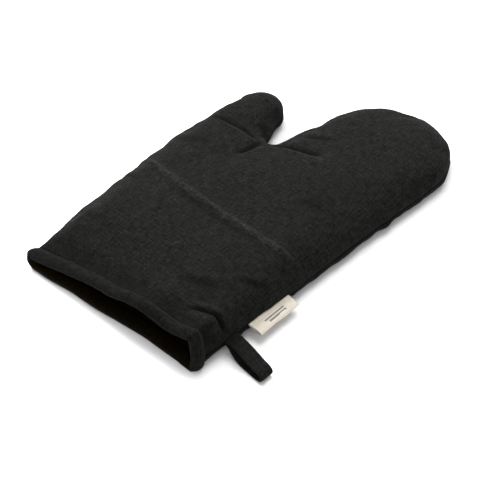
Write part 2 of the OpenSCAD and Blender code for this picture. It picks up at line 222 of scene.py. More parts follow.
def rounding(q):
    """Width over which the upper face rounds down to the seam."""
    x, y = q[:, 0], q[:, 1]
    w = np.full(len(q), ROUND_SIDE)
    in_thumb = smooth((y - 190 * MM) / (25 * MM)) * smooth((CROTCH_X + 12 * MM - x) / (12 * MM))
    w = mix(in_thumb, w, ROUND_THUMB)
    near_mouth = 1 - smooth(y / (70 * MM))
    w = mix(near_mouth * (x < 0), w, ROUND_MOUTH_LEFT)
    return mix(near_mouth * (x > 0), w, ROUND_MOUTH_RIGHT)


def lower_rounding(q):
    """Width over which the lower face rounds down from the seam: steep at the mouth's right corner."""
    right = mix(smooth((q[:, 1] - 12 * MM) / (16 * MM)), ROUND_BELOW_MOUTH, ROUND_BELOW_RIGHT)
    return np.where(q[:, 0] > 0, right, ROUND_BELOW_LEFT * rounding(q))


def face_rounding(q, upper):
    return rounding(q) if upper else lower_rounding(q)


# ---- Relief of the cloth ----
def near_path(p, path):
    """Distance to a crease's path, the share along it, and the side: positive towards the fingers."""
    best = np.full(len(p), 1e9)
    share, side = np.zeros(len(p)), np.zeros(len(p))
    path = np.array(path) * MM
    lengths = np.linalg.norm(np.diff(path, axis=0), axis=1)
    start = np.concatenate([[0], np.cumsum(lengths)])
    for k, length in enumerate(lengths):
        along = (path[k + 1] - path[k]) / length
        t = np.clip((p - path[k]) @ along, 0, length)
        off = p - path[k] - t[:, None] * along
        d = np.linalg.norm(off, axis=1)
        closer = d < best
        best[closer] = d[closer]
        share[closer] = ((start[k] + t) / start[-1])[closer]
        cross = along[0] * off[:, 1] - along[1] * off[:, 0]
        side[closer] = np.sign(cross)[closer]
    return best, share, side


def curved(path, n=6):
    """A smooth line through these points."""
    p = np.array(path, float)
    out = []
    for i in range(len(p) - 1):
        m0 = (p[i + 1] - p[max(i - 1, 0)]) / 2
        m1 = (p[min(i + 2, len(p) - 1)] - p[i]) / 2
        out += [cubic(t, p[i], m0, p[i + 1], m1) for t in np.linspace(0, 1, n, endpoint=False)]
    return out + [p[-1]]


def crease(p, path, height, width, lip=0.0, fade=0.2):
    """A ridge (a groove, if negative) along a path, with a lip on its finger side and fading ends."""
    d, share, side = near_path(p, curved(path))
    ends = smooth(share / fade) * smooth((1 - share) / fade)
    signed = d * side / (width * MM)
    shape = height * np.exp(-(signed**2)) + lip * np.exp(-((signed - 1.8) ** 2))
    return shape * ends * MM


def swell(p, centre, radii, height):
    d = (p - np.array(centre) * MM) / (np.array(radii) * MM)
    return height * MM * np.exp(-(d**2).sum(1))


def wander(p, scale, seed):
    """Smooth noise from -1 to 1 over the plan."""
    return np.array([noise.noise(Vector((x / scale, y / scale, seed))) for x, y in p])


# (path, height, width, lip on the finger side), in mm, and the share of the path over which ends fade
UPPER_CREASES = [
    ([(-95, 122), (-60, 116), (-30, 111), (4, 108), (45, 106), (84, 108)], 1.9, 2.4, 0.0, 0.12),
    ([(-60, 109), (-30, 105), (4, 102), (45, 100), (66, 101)], -0.7, 3.2, 0.0, 0.3),
    ([(-84, 196), (-68, 196), (-52, 196.5), (-43, 196), (-32, 194)], -1.6, 2.0, 0.0, 0.25),
    ([(-74, 192), (-54, 192.5), (-41, 192.5), (-30, 190)], 0.9, 1.7, 0.0, 0.3),
    ([(-34, 200), (-32, 191), (-32, 184), (-33, 177), (-36, 168)], -2.0, 2.6, 0.0, 0.25),
    ([(-28, 196), (-27, 186), (-29, 176), (-31, 164)], 0.9, 2.8, 0.0, 0.3),
    ([(-28, 199), (-19, 200), (-7, 202), (5, 204), (20, 209)], -2.1, 2.0, -0.6, 0.2),
    ([(-26, 195), (-12, 197), (2, 199), (12, 201), (30, 206)], 1.3, 1.8, 0.0, 0.25),
    ([(-16, 215), (-4, 221), (8, 227), (20, 229)], -0.8, 3.0, 0.5, 0.35),
    ([(50, 21), (61, 26.4), (72, 28.8), (80, 28.2), (88, 28), (98, 29)], -2.8, 1.9, 0.7, 0.3),
    ([(54, 17.5), (64, 20.5), (74, 21.5), (80, 20)], 0.8, 2.4, 0.0, 0.3),
    ([(24, 38), (44, 45), (62, 52)], -0.9, 4.0, 0.4, 0.4),
    ([(56, 62), (70, 70), (84, 82)], -1.0, 3.0, 0.3, 0.4),
    ([(66, 92), (76, 96), (86, 100)], -0.7, 2.2, 0.2, 0.4),
    ([(-92, 52), (-70, 50), (-52, 46)], 0.5, 3.5, 0.0, 0.45),
    ([(-90, 96), (-78, 98), (-62, 96)], -0.8, 2.2, 0.4, 0.4),
    ([(30, 150), (52, 158), (78, 160)], -0.6, 5.0, 0.0, 0.4),
    ([(-88, 150), (-70, 158), (-56, 170)], -0.6, 4.5, 0.0, 0.4),
    ([(74, 199), (84, 202), (94, 203)], -0.5, 2.6, 0.0, 0.4),
]
LOWER_CREASES = [
    ([(-95, 116), (0, 110), (86, 108)], -1.2, 2.4, 0.0, 0.1),
]

# Soft rises and hollows: (centre, radii, height), in mm
UPPER_SWELLS = [
    ((20, 165), (48, 34), 1.4), ((35, 262), (34, 30), 1.4), ((-30, 66), (46, 26), 1.0),
    ((-62, 172), (22, 22), 1.0), ((-67, 228), (14, 18), 0.8), ((0, 13), (95, 7), -2.4),
]


def creases(p, paths, spread=1.0):
    """All creases together. With a spread over 1 only the grooves count, and they are wider."""
    r = np.zeros(len(p))
    for path, height, width, lip, fade in paths:
        if spread == 1:
            r += crease(p, path, height, width, lip, fade)
        elif height < 0:
            r += crease(p, path, height, width * spread, 0, fade)
    return r


def relief_upper(p, spread=1.0):
    """How far the upper face stands out, or lies in; spread is passed on to its creases."""
    r = creases(p, UPPER_CREASES, spread)
    for centre, radii, height in UPPER_SWELLS:
        r += swell(p, centre, radii, height)
    r += 0.6 * MM * wander(p, 34 * MM, 1.7) + 0.35 * MM * wander(p, 15 * MM, 5.1)
    return r


def relief_lower(p, spread=1.0):
    return -np.abs(creases(p, LOWER_CREASES, spread)) - 0.25 * MM * (1 + wander(p, 21 * MM, 9.3))


def seam_pucker(p, depth, seed):
    """Small folds that run in from the seam; depth is the share of the way to the flat, 0 to 1.
    Both faces share the seam's own wander, so that they meet there."""

    def folds(offset):
        return 0.5 * wander(p, 7 * MM, offset) + 0.9 * wander(p, 19 * MM, offset + 4)

    at_seam = np.exp(-((depth / 0.02) ** 2))
    return mix(at_seam, folds(seed), folds(0.5)) * MM * np.exp(-((depth / 0.28) ** 2))


# ---- A panel: a fine sheet over one face of the mitt ----
RING_STEP = 5               # degrees between rings from the seam to where the lattice begins
RINGS = 12
ROW_GAP = 0.866             # between the lattice's rows, as a share of its step
SEAM_STEP = 0.8 * MM        # spacing of the seam's points where depths are measured from it
FULL_RELIEF = 0.25          # share of the way in from the seam where the relief has its full height
SEAM_GROOVE = 1.3 * MM      # how far the seam is drawn in between the faces


def inside(points, polygon):
    x, y = points[:, 0], points[:, 1]
    hit = np.zeros(len(points), bool)
    for (x0, y0), (x1, y1) in zip(polygon, np.roll(polygon, -1, axis=0)):
        crosses = (y0 > y) != (y1 > y)
        if crosses.any():
            hit ^= crosses & (x < (x1 - x0) * (y - y0) / (y1 - y0 + 1e-15) + x0)
    return hit


def normals_of(v, f):
    n = np.zeros_like(v)
    face = np.cross(v[f[:, 1]] - v[f[:, 0]], v[f[:, 2]] - v[f[:, 0]])
    for k in range(3):
        np.add.at(n, f[:, k], face)
    return unit(n)


def plan_tree(points):
    """A lookup of the nearest of these places in plan."""
    tree = kdtree.KDTree(len(points))
    for i, (x, y) in enumerate(points):
        tree.insert((x, y, 0), i)
    tree.balance()
    return tree


def filled(border, step):
    """Points and triangles of an even lattice inside a border, whose own points come first."""
    low, high = border.min(0), border.max(0)
    rows = []
    for k, y in enumerate(np.arange(low[1], high[1], step * ROW_GAP)):
        xs = np.arange(low[0] + (k % 2) * step / 2, high[0], step)
        rows.append(np.stack([xs, np.full(len(xs), y)], axis=1))
    lattice = np.concatenate(rows)
    lattice = lattice[inside(lattice, border)]
    tree = plan_tree(border)
    far = np.array([tree.find((x, y, 0))[2] for x, y in lattice]) > 0.7 * step
    flat = np.concatenate([border, lattice[far]])
    rim = list(range(len(border)))[::-1]
    made = geometry.delaunay_2d_cdt([Vector(p) for p in flat], [], [rim], 1, 1e-7)
    return np.array([tuple(v) for v in made[0]]), np.array([f for f in made[2] if len(f) == 3])


def strips(columns):
    """Triangles between neighbouring rings."""
    faces = []
    for j in range(RINGS):
        for i in range(columns - 1):
            a, b = j * columns + i, j * columns + i + 1
            c, d = a + columns, b + columns
            faces += [(a, d, b), (a, c, d)]
    return np.array(faces)


def depth_in(plan, upper):
    """Share of the way from the seam to the flat, 0 to 1, at places in plan."""
    seam, _ = outline(SEAM_STEP)
    width = face_rounding(seam, upper)
    near = plan_tree(seam)
    found = [near.find((x, y, 0)) for x, y in plan]
    return np.array([min(d / width[i], 1) for _, i, d in found])


def rolled_out(share, turn, width, drop):
    """Length of the rounded edge between the lattice and each ring, the seam's ring first."""
    roll = [np.zeros(len(width))]
    for j in range(RINGS, 0, -1):
        run = (share[j] - share[j - 1]) * width
        fall = (math.sin(turn[j]) - math.sin(turn[j - 1])) * drop
        roll.append(roll[-1] + np.hypot(run, fall))
    return np.array(roll)[::-1]


def tone_and_painted_light_of(plan, depth, upper):
    """Painted highlight on ridges and painted shade in grooves, at the seam and behind the hem; tips
    paler, cuff darker.
    """
    y = plan[:, 1]
    # Painted highlight on the ridges and painted shade in the grooves
    ridge_highlight_groove_shade = np.zeros(len(plan))
    if upper:
        ridge_highlight_groove_shade = np.clip(creases(plan, UPPER_CREASES) / (1.6 * MM), -1, 1) * smooth(depth / FULL_RELIEF)
    # Painted shade in the seam's groove and in the groove behind the hem; darker towards the cuff, paler
    # towards the tips
    seam = 0.6 * np.exp(-depth / 0.008)
    shade_behind_hem = 0.45 * np.exp(-(((y - 10 * MM) / (9 * MM)) ** 2))
    cuff = 0.2 * (1 - smooth(y / (120 * MM)))
    tips = 0.1 * smooth((y - 190 * MM) / (30 * MM))
    return ridge_highlight_groove_shade - (seam + shade_behind_hem) - (cuff - tips)


def panel(upper, step, spread=1.0):
    """One face of the mitt, from the seam to the middle: its points and triangles, its normals before
    and after the relief ("base" and "shading"), its flat pattern, and its painted highlight, painted
    shade and tone."""
    q, inward = outline(step)
    keep = q[:, 1] >= FIRST_ROW
    q, inward = q[keep], inward[keep]
    width = rounding(q)
    q[0, 1] = q[-1, 1] = FIRST_ROW
    if not upper:
        width = lower_rounding(q)
    columns = len(q)
    turn = np.radians(np.arange(RINGS + 1) * RING_STEP)
    share = 1 - np.cos(turn)
    rings = q[None] + inward[None] * (share[:, None, None] * width[None, :, None])
    last = rings[-1]
    count = max(2, int(np.linalg.norm(last[0] - last[-1]) / step))
    mouth = np.linspace(last[-1], last[0], count)[1:-1]
    inner, triangles = filled(np.concatenate([last, mouth]), step)

    # Rings first, then the points of the middle; the border's points are the last ring's
    outer = rings[:-1].reshape(-1, 2)
    base = len(outer)
    plan = np.concatenate([outer, inner])
    faces = np.concatenate([strips(columns), triangles + base])
    inner_depth = depth_in(inner, upper)
    inner_depth[:columns] = share[-1]
    depth = np.concatenate([np.repeat(share[:-1], columns), inner_depth])
    rise = np.sqrt(np.maximum(0, 1 - (1 - depth) ** 2))
    full = upper_height(plan) if upper else np.zeros(len(plan))
    points = np.column_stack([plan, mix(rise, SEAM_Z, full)])

    # The flat pattern: rounded edges are rolled out beyond the lattice
    roll = rolled_out(share, turn, width, abs(full[:columns] - SEAM_Z))
    pattern = plan.copy()
    pattern[:base] = (last[None] - inward[None] * roll[:-1, :, None]).reshape(-1, 2)

    n = normals_of(points, faces)
    if n[base:, 2].mean() * (1 if upper else -1) < 0:
        faces = faces[:, ::-1]
        n = -n
    n[:columns] = np.column_stack([-inward, np.zeros(columns)])
    relief = (relief_upper if upper else relief_lower)(plan, spread) * smooth(depth / FULL_RELIEF)
    pucker = seam_pucker(plan, depth, 2.5 if upper else 7.5)
    groove = -SEAM_GROOVE * np.exp(-depth / 0.006)
    points = points + n * (relief + pucker + groove)[:, None]
    if not upper:
        points[:, 2] = np.maximum(points[:, 2], LOWEST)
    return {
        "points": points, "faces": faces, "base": n, "pattern": pattern,
        "shading": normals_of(points, faces), "tone_and_painted_light": tone_and_painted_light_of(plan, depth, upper),
    }


# ---- Cloth simulation: how pressure and drag on the seams move the cover ----
COVER_STEP = 4.5 * MM       # spacing of the coarse cover's points
SEWN_WITHIN = 1.2 * MM      # points of its two faces closer than this become one
FRAMES = 20
MOVE_LIMIT = 2.4 * MM       # moves are bent down so that none passes this
CARRIERS, CARRY_BLUR = 6, 1.5 * MM          # cover points that move each point of a sheet, and their blur


def grouped(piece, name, weights):
    group = piece.vertex_groups.new(name=name)
    for i, w in enumerate(weights):
        if w > 0.01:
            group.add([i], float(min(w, 1)), "REPLACE")
    return group


def simulated_cover():
    """Rest places and moves of a coarse closed cover, blown up by its wadding and tugged by its seam."""
    halves = [panel(True, COVER_STEP), panel(False, COVER_STEP)]
    points = np.concatenate([h["points"] for h in halves])
    faces = np.concatenate([halves[0]["faces"], halves[1]["faces"] + len(halves[0]["points"])])
    mesh = bpy.data.meshes.new("cover")
    mesh.from_pydata(points.tolist(), [], faces.tolist())
    cover = bpy.data.objects.new("cover", mesh)
    bpy.context.scene.collection.objects.link(cover)
    sewn = bmesh.new()
    sewn.from_mesh(mesh)
    bmesh.ops.remove_doubles(sewn, verts=sewn.verts, dist=SEWN_WITHIN)
    sewn.to_mesh(mesh)
    sewn.free()
    count = len(mesh.vertices)
    rest = np.zeros(3 * count)
    mesh.vertices.foreach_get("co", rest)
    rest = rest.reshape(-1, 3)

    # The mouth is held by its hem and the lower face by what it lies on
    at_seam = np.exp(-(((rest[:, 2] - SEAM_Z) / (3 * MM)) ** 2))
    held = np.maximum(1 - smooth((rest[:, 1] - 12 * MM) / (22 * MM)), 1 - smooth(rest[:, 2] / (5 * MM)))
    held = np.maximum(held, 0.5 * at_seam)
    grouped(cover, "held", held)
    grouped(cover, "tight", at_seam)
    cloth = cover.modifiers.new("cloth", "CLOTH")
    cloth.settings.quality = 6
    cloth.settings.mass = 0.25
    cloth.settings.tension_stiffness = 12
    cloth.settings.compression_stiffness = 12
    cloth.settings.bending_stiffness = 0.08
    cloth.settings.vertex_group_mass = "held"
    cloth.settings.pin_stiffness = 1
    cloth.settings.vertex_group_shrink = "tight"
    cloth.settings.shrink_min = 0
    cloth.settings.shrink_max = 0.045
    cloth.settings.use_pressure = True
    cloth.settings.uniform_pressure_force = 4
    cloth.settings.effector_weights.gravity = 0
    cloth.collision_settings.use_collision = False
    cloth.collision_settings.use_self_collision = False
    cloth.point_cache.frame_start = 1
    cloth.point_cache.frame_end = FRAMES
    for f in range(1, FRAMES + 1):
        bpy.context.scene.frame_set(f)
    shown = cover.evaluated_get(bpy.context.evaluated_depsgraph_get())
    blown = np.zeros(3 * count)
    shown.data.vertices.foreach_get("co", blown)
    moves = blown.reshape(-1, 3) - rest
    bpy.context.scene.frame_set(1)
    bpy.data.objects.remove(cover)
    bpy.data.meshes.remove(mesh)
    size = np.linalg.norm(moves, axis=1)
    moves *= (MOVE_LIMIT * np.tanh(size / MOVE_LIMIT) / np.maximum(size, 1e-9))[:, None]
    return rest, moves


def settle(sheet, cover):
    """Moves a panel as the coarse cover moved round it."""
    rest, moves = cover
    near = kdtree.KDTree(len(rest))
    for i, p in enumerate(rest):
        near.insert(p, i)
    near.balance()
    points = sheet["points"]
    moved = points.copy()
    for i, p in enumerate(points):
        found = near.find_n(p, CARRIERS)
        weights = np.array([1 / (d * d + CARRY_BLUR**2) for _, _, d in found])
        moved[i] += weights @ moves[[k for _, k, _ in found]] / weights.sum()
    moved[:, 2] = np.maximum(moved[:, 2], LOWEST)
    sheet["points"] = moved
    sheet["shading"] = normals_of(moved, sheet["faces"])


# ---- Materials ----
DARKEST = 0.12              # least share of the base colour that the weave leaves
THREAD_RELIEF = 0.35 * MM
GLOSS = 0.02                # dry cotton hardly shines


def principled(name, colour, roughness):
    m = bpy.data.materials.new(name)
    m.use_nodes = True
    bsdf = m.node_tree.nodes["Principled BSDF"]
    bsdf.inputs["Base Color"].default_value = (*colour, 1)
    bsdf.inputs["Roughness"].default_value = roughness
    return m, m.node_tree, bsdf


def math_node(tree, operation, a, b=None):
    node = tree.nodes.new("ShaderNodeMath")
    node.operation = operation
    for socket, value in zip(node.inputs, (a, b)):
        if value is None:
            continue
        if isinstance(value, (int, float)):
            socket.default_value = value
        else:
            tree.links.new(value, socket)
    return node.outputs[0]


def scaled(tree, a, b, c):
    """a times b plus c."""
    out = math_node(tree, "MULTIPLY_ADD", a, b)
    out.node.inputs[2].default_value = c
    return out


def noise_node(tree, vector, scale, detail):
    node = tree.nodes.new("ShaderNodeTexNoise")
    node.inputs["Scale"].default_value = scale
    node.inputs["Detail"].default_value = detail
    tree.links.new(vector, node.inputs["Vector"])
    return node.outputs["Fac"]


def woven(name, colour, pitch, roughness=0.85, sheen=0.1, contrast=1.0, bump=0.3):
    """Plain cotton weave with threads of the given pitch in metres, along each piece's flat pattern:
    round warp and weft threads, thick and thin yarn, loose lint, and the painted highlight, painted shade
    and tone that a piece carries."""
    m, tree, bsdf = principled(name, colour, roughness)
    link = tree.links.new
    uv = tree.nodes.new("ShaderNodeUVMap")
    uv.uv_map = "weave"
    split = tree.nodes.new("ShaderNodeSeparateXYZ")
    link(uv.outputs[0], split.inputs[0])
    u = scaled(tree, split.outputs[0], math.pi / pitch, 0)
    v = scaled(tree, split.outputs[1], math.pi / pitch, 0)
    warp = math_node(tree, "ABSOLUTE", math_node(tree, "SINE", u))
    weft = math_node(tree, "ABSOLUTE", math_node(tree, "SINE", v))
    diagonal = scaled(tree, math_node(tree, "ADD", u, v), 0.5, 0)
    over = scaled(tree, math_node(tree, "SINE", diagonal), 0.5, 0.5)
    thread = tree.nodes.new("ShaderNodeMix")
    link(over, thread.inputs[0])
    link(warp, thread.inputs[2])
    link(weft, thread.inputs[3])

    def varied(pattern, gain, middle):
        """A factor of 1 where the pattern has its middle value, and the gain says how far it swings."""
        return scaled(tree, pattern, gain * contrast, 1 - gain * middle * contrast)

    def yarn(along, across):
        stretch = tree.nodes.new("ShaderNodeMapping")
        stretch.inputs["Scale"].default_value = (across, along, 1)
        link(uv.outputs[0], stretch.inputs["Vector"])
        return noise_node(tree, stretch.outputs[0], 1, 3)

    slubs = math_node(tree, "ADD", yarn(120, 0.8 / pitch), yarn(0.8 / pitch, 120))
    place = tree.nodes.new("ShaderNodeTexCoord").outputs["Object"]
    clouds = noise_node(tree, place, 30, 5)
    lint = noise_node(tree, place, 850, 3)
    flecks = noise_node(tree, place, 520, 2)
    # Each piece's painted highlight and painted shade, with its tone, lighten or darken the weave
    tone_and_light_attribute = tree.nodes.new("ShaderNodeAttribute")
    tone_and_light_attribute.attribute_name = "tone_and_painted_light"
    factors = [
        varied(thread.outputs[0], 1.0, 0.65), varied(slubs, 2.0, 1.0), varied(clouds, 0.5, 0.5),
        varied(lint, 1.5, 0.5), varied(flecks, 1.5, 0.5), scaled(tree, tone_and_light_attribute.outputs["Fac"], 0.75, 1),
    ]
    shade = factors[0]
    for factor in factors[1:]:
        shade = math_node(tree, "MULTIPLY", shade, factor)
    shade = math_node(tree, "MAXIMUM", shade, DARKEST)
    tint = tree.nodes.new("ShaderNodeVectorMath")
    tint.operation = "SCALE"
    tint.inputs[0].default_value = colour
    link(shade, tint.inputs["Scale"])
    link(tint.outputs[0], bsdf.inputs["Base Color"])
    link(scaled(tree, lint, -0.2, min(1, roughness + 0.1)), bsdf.inputs["Roughness"])
    raised = tree.nodes.new("ShaderNodeBump")
    raised.inputs["Strength"].default_value = bump
    raised.inputs["Distance"].default_value = THREAD_RELIEF
    height = math_node(tree, "ADD", thread.outputs[0], scaled(tree, slubs, 0.9, 0))
    link(math_node(tree, "ADD", height, scaled(tree, lint, 0.6, 0)), raised.inputs["Height"])
    link(raised.outputs[0], bsdf.inputs["Normal"])
    bsdf.inputs["Sheen Weight"].default_value = sheen
    bsdf.inputs["Sheen Roughness"].default_value = 0.5
    bsdf.inputs["Specular IOR Level"].default_value = GLOSS
    return m


OUTER = woven("outer cotton", (0.0073, 0.0074, 0.0068), 1.1 * MM, sheen=0.02, bump=0.6)
LINING = woven("lining cotton", (0.0080, 0.0050, 0.0014), 0.7 * MM, roughness=0.9, sheen=0.0)
WADDING = woven("wadding", (0.72, 0.7, 0.64), 2.2 * MM, roughness=1.0, sheen=0.2, contrast=0.3)
THREAD = woven("thread", (0.0067, 0.0068, 0.0063), 0.35 * MM, roughness=0.6, sheen=0.0, contrast=0.2)
LABEL_WEAVE = {"pitch": 0.5 * MM, "roughness": 0.8, "contrast": 0.16, "bump": 0.2}
LABEL = woven("label tape", (0.50, 0.46, 0.39), **LABEL_WEAVE)
MARK = woven("label weave mark", (0.17, 0.16, 0.15), **LABEL_WEAVE)
LABEL_THREAD = woven(
    "label thread", (0.54, 0.49, 0.40), 0.3 * MM, roughness=0.6, sheen=0.0, contrast=0.1
)


# ---- Pieces ----
def to_row(points):
    """From places measured at the cuff's edge to the model's own frame."""
    return points - np.array([0, LENGTH / 2, 0])


def volume(points, faces):
    """Signed volume, which is negative where the faces look inwards."""
    fans = np.array([(f[0], f[i], f[i + 1]) for f in faces for i in range(1, len(f) - 1)])
    a, b, c = points[fans[:, 0]], points[fans[:, 1]], points[fans[:, 2]]
    return (a * np.cross(b, c)).sum() / 6


def new_piece(name, points, faces, material, pattern, shading=None, slot=None, tone_and_painted_light=None):
    """A closed mesh in the model's own frame, with its flat pattern as the map of the weave."""
    if volume(points, faces) < 0:
        faces = [f[::-1] for f in faces]
    mesh = bpy.data.meshes.new(name)
    mesh.from_pydata(to_row(points).tolist(), [], [list(map(int, f)) for f in faces])
    uv = mesh.uv_layers.new(name="weave")
    corner = np.zeros(len(mesh.loops), np.int32)
    mesh.loops.foreach_get("vertex_index", corner)
    uv.data.foreach_set("uv", np.asarray(pattern, np.float32)[corner].ravel())
    # Painted highlight and painted shade, with tone, stored for the weave to read
    if tone_and_painted_light is not None:
        tone_and_light_attribute = mesh.attributes.new("tone_and_painted_light", "FLOAT", "POINT")
        tone_and_light_attribute.data.foreach_set("value", np.asarray(tone_and_painted_light, np.float32))
    mesh.shade_smooth()
    if shading is not None:
        mesh.normals_split_custom_set_from_vertices([tuple(n) for n in shading])
    mesh.materials.append(material)
    piece = bpy.data.objects.new(name, mesh)
    bpy.context.scene.collection.objects.link(piece)
    return piece


# Each cloth layer is cut into these: the CAD nodes a section replaces, and the bodies on either side of
# its crease
SECTIONS = {
    "wrist": {
        "nodes": ("cuff", "hand"), "bodies": ("cuff", "hand"), "crease": HALF_CREASE, "reach": 25 * MM,
    },
    "fingers": {
        "nodes": ("fingers",), "bodies": ("hand", "fingers"), "crease": FINGER_CREASE, "reach": 14 * MM,
    },
    "thumb": {
        "nodes": ("thumb",), "bodies": ("hand", "thumb"), "crease": THUMB_CREASE, "reach": 8.5 * MM,
    },
}


def bend(piece):
    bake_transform(piece)


def section_of(centre):
    """Which section each place belongs to: 0 wrist, 1 fingers, 2 thumb."""
    x, y = centre[:, 0], centre[:, 1]
    return np.where(y < CUT_Y, 0, np.where(x > CROTCH_X, 1, 2))


def thick(sheet, chosen, outer, inner):
    """A closed solid between two depths under a panel, for the chosen triangles, and its area."""
    f = sheet["faces"][chosen]
    used, f = np.unique(f, return_inverse=True)
    f = f.reshape(-1, 3)
    n, p = sheet["base"][used], sheet["points"][used]
    count = len(used)
    edges = np.concatenate([f[:, [0, 1]], f[:, [1, 2]], f[:, [2, 0]]])
    code = edges[:, 0] * count + edges[:, 1]
    back = edges[:, 1] * count + edges[:, 0]
    rim = edges[~np.isin(code, back)]
    walls = [(b, a, a + count, b + count) for a, b in rim]
    shading = sheet["shading"][used]
    pattern = sheet["pattern"][used]
    tone_and_painted_light = sheet["tone_and_painted_light"][used]
    return {
        "points": np.concatenate([p - n * outer, p - n * inner]),
        "faces": list(f) + list(f[:, ::-1] + count) + walls,
        "shading": np.concatenate([shading, -shading]),
        "pattern": np.tile(pattern, (2, 1)),
        # Painted highlight and painted shade on the outer side only
        "tone_and_painted_light": np.concatenate([tone_and_painted_light, np.zeros(count)]),
    }, area_of(pattern, f)


def area_of(pattern, f):
    a, b = pattern[f[:, 1]] - pattern[f[:, 0]], pattern[f[:, 2]] - pattern[f[:, 0]]
    return 0.5 * np.abs(a[:, 0] * b[:, 1] - a[:, 1] * b[:, 0]).sum()


def cloth_layers(label, sheet, side, outer, thickness, material, slot, pad=None):
    """One layer of one face, whose outer side lies this deep under the panel, cut into its sections."""
    which = section_of(sheet["points"][sheet["faces"]].mean(1))
    for k, name in enumerate(SECTIONS):
        solid, area = thick(sheet, which == k, outer, outer + thickness)
        piece = new_piece(f"{side}_{label}_cloth_{name}", material=material, slot=slot, **solid)
        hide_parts(*[f"{side}_{label}_{n}" for n in SECTIONS[name]["nodes"]])
        bend(piece)
        if pad is None:
            # A layer that lies deeper is cut narrower on both sides, and shorter at the tips
            size = np.ptp(solid["pattern"], axis=0)
            cut = size - outer * np.array([2, 0 if name == "wrist" else 1])
            area *= cut.prod() / size.prod()


def swept_faces(stations, sides):
    """Faces of a closed solid swept through rings of points, with a cap at both ends."""
    faces = []
    for i in range(stations - 1):
        for k in range(sides):
            m = (k + 1) % sides
            faces.append((i * sides + k, i * sides + m, (i + 1) * sides + m, (i + 1) * sides + k))
    last = (stations - 1) * sides
    return faces + [tuple(range(sides))[::-1], tuple(range(last, last + sides))]


def tube(path, radius, sides=6):
    """Points and faces of a round strand along a path."""
    path = np.asarray(path)
    along = unit(np.gradient(path, axis=0))
    across = unit(np.cross(along, [0.0, 0.0, 1.0]))
    up = np.cross(across, along)
    turn = np.linspace(0, 2 * np.pi, sides, endpoint=False)
    ring = across[:, None] * np.cos(turn)[None, :, None] + up[:, None] * np.sin(turn)[None, :, None]
    points = (path[:, None] + radius * ring).reshape(-1, 3)
    return points, swept_faces(len(path), sides)


def joined(parts):
    """Several strands as one piece."""
    points, faces, count = [], [], 0
    for p, f in parts:
        points.append(p)
        faces += [tuple(int(i) + count for i in face) for face in f]
        count += len(p)
    return np.concatenate(points), faces


# ---- The cuff's hem, swept round the mouth ----
# Its section: (distance from the cuff's edge, depth under the outer face) in mm, from outside to inside
HEM_PROFILE = [
    (10.0, 2.4), (9.5, 0.9), (8.7, -0.5), (7.5, -1.5), (5.9, -2.0), (4.2, -2.0), (2.6, -1.5), (1.1, -0.5),
    (0.0, 0.8), (-0.5, 2.3), (-0.4, 3.8), (0.5, 5.1), (2.2, 6.1), (4.6, 6.7), (7.2, 7.0), (9.6, 7.0),
]
HEM_MIDDLE = 4.5 * MM       # distance of the band's middle from the cuff's edge
# How many of the section's points, from the first, ripple, are pulled out at the lap, and rise there
RIPPLED, DRAWN_OUT, LAPPED = 13, 12, 11
TURNED_IN = 10              # the lining shows from this point of the section on
CORNER_RUN, MIDDLE_RUN = 34 * MM, 100 * MM  # length round one corner of the mouth, and across one face
FLARE, FLARE_REACH = 6 * MM, 7 * MM         # the mouth's left corner spreads towards its edge
TOPSTITCH_ROW = 9.4 * MM
STITCH, STITCH_PITCH, STITCH_R = 2.4 * MM, 3.4 * MM, 0.33 * MM


def mouth_stations(step):
    """Stations round the mouth, over the top from left to right and back below: which stretch, the
    share of the way along it, and whether it is on the upper face."""
    arcs = np.linspace(0, 1, int(CORNER_RUN / step))
    across = np.linspace(0, 1, int(MIDDLE_RUN / step))[1:-1]
    top = [("left", t, 1) for t in arcs] + [("middle", t, 1) for t in across]
    top += [("right", t, 1) for t in arcs[::-1]]
    low = [("right", t, 0) for t in arcs[1:]] + [("middle", t, 0) for t in across[::-1]]
    return top + low + [("left", t, 0) for t in arcs[:0:-1]]


def mouth_point(station, y):
    """A place on the outer face at the mouth, before any relief."""
    kind, t, upper = station
    flare = FLARE * math.exp(-((y / FLARE_REACH) ** 2))
    left, right = -CUFF_HALF + LEFT_SLOPE * y - flare, CUFF_HALF + RIGHT_SLOPE * y
    w = face_rounding(np.array([[left, y], [right, y]]), upper)
    a = t * math.pi / 2
    if kind == "middle":
        x = mix(t, left + w[0], right - w[1])
    elif kind == "left":
        x = left + w[0] * (1 - math.cos(a))
    else:
        x = right - w[1] * (1 - math.cos(a))
    full = upper_height(np.array([[x, y]]))[0] if upper else 0
    return np.array([x, y, full if kind == "middle" else mix(math.sin(a), SEAM_Z, full)])


def mouth_surface(stations, y):
    """The outer face round the mouth at this distance from the cuff's edge, with its relief."""
    p = np.array([mouth_point(s, y) for s in stations])
    upper = np.array([s[2] for s in stations])
    p[:, 2] += relief_upper(p[:, :2]) * upper * smooth((p[:, 2] - SEAM_Z) / (12 * MM))
    return p


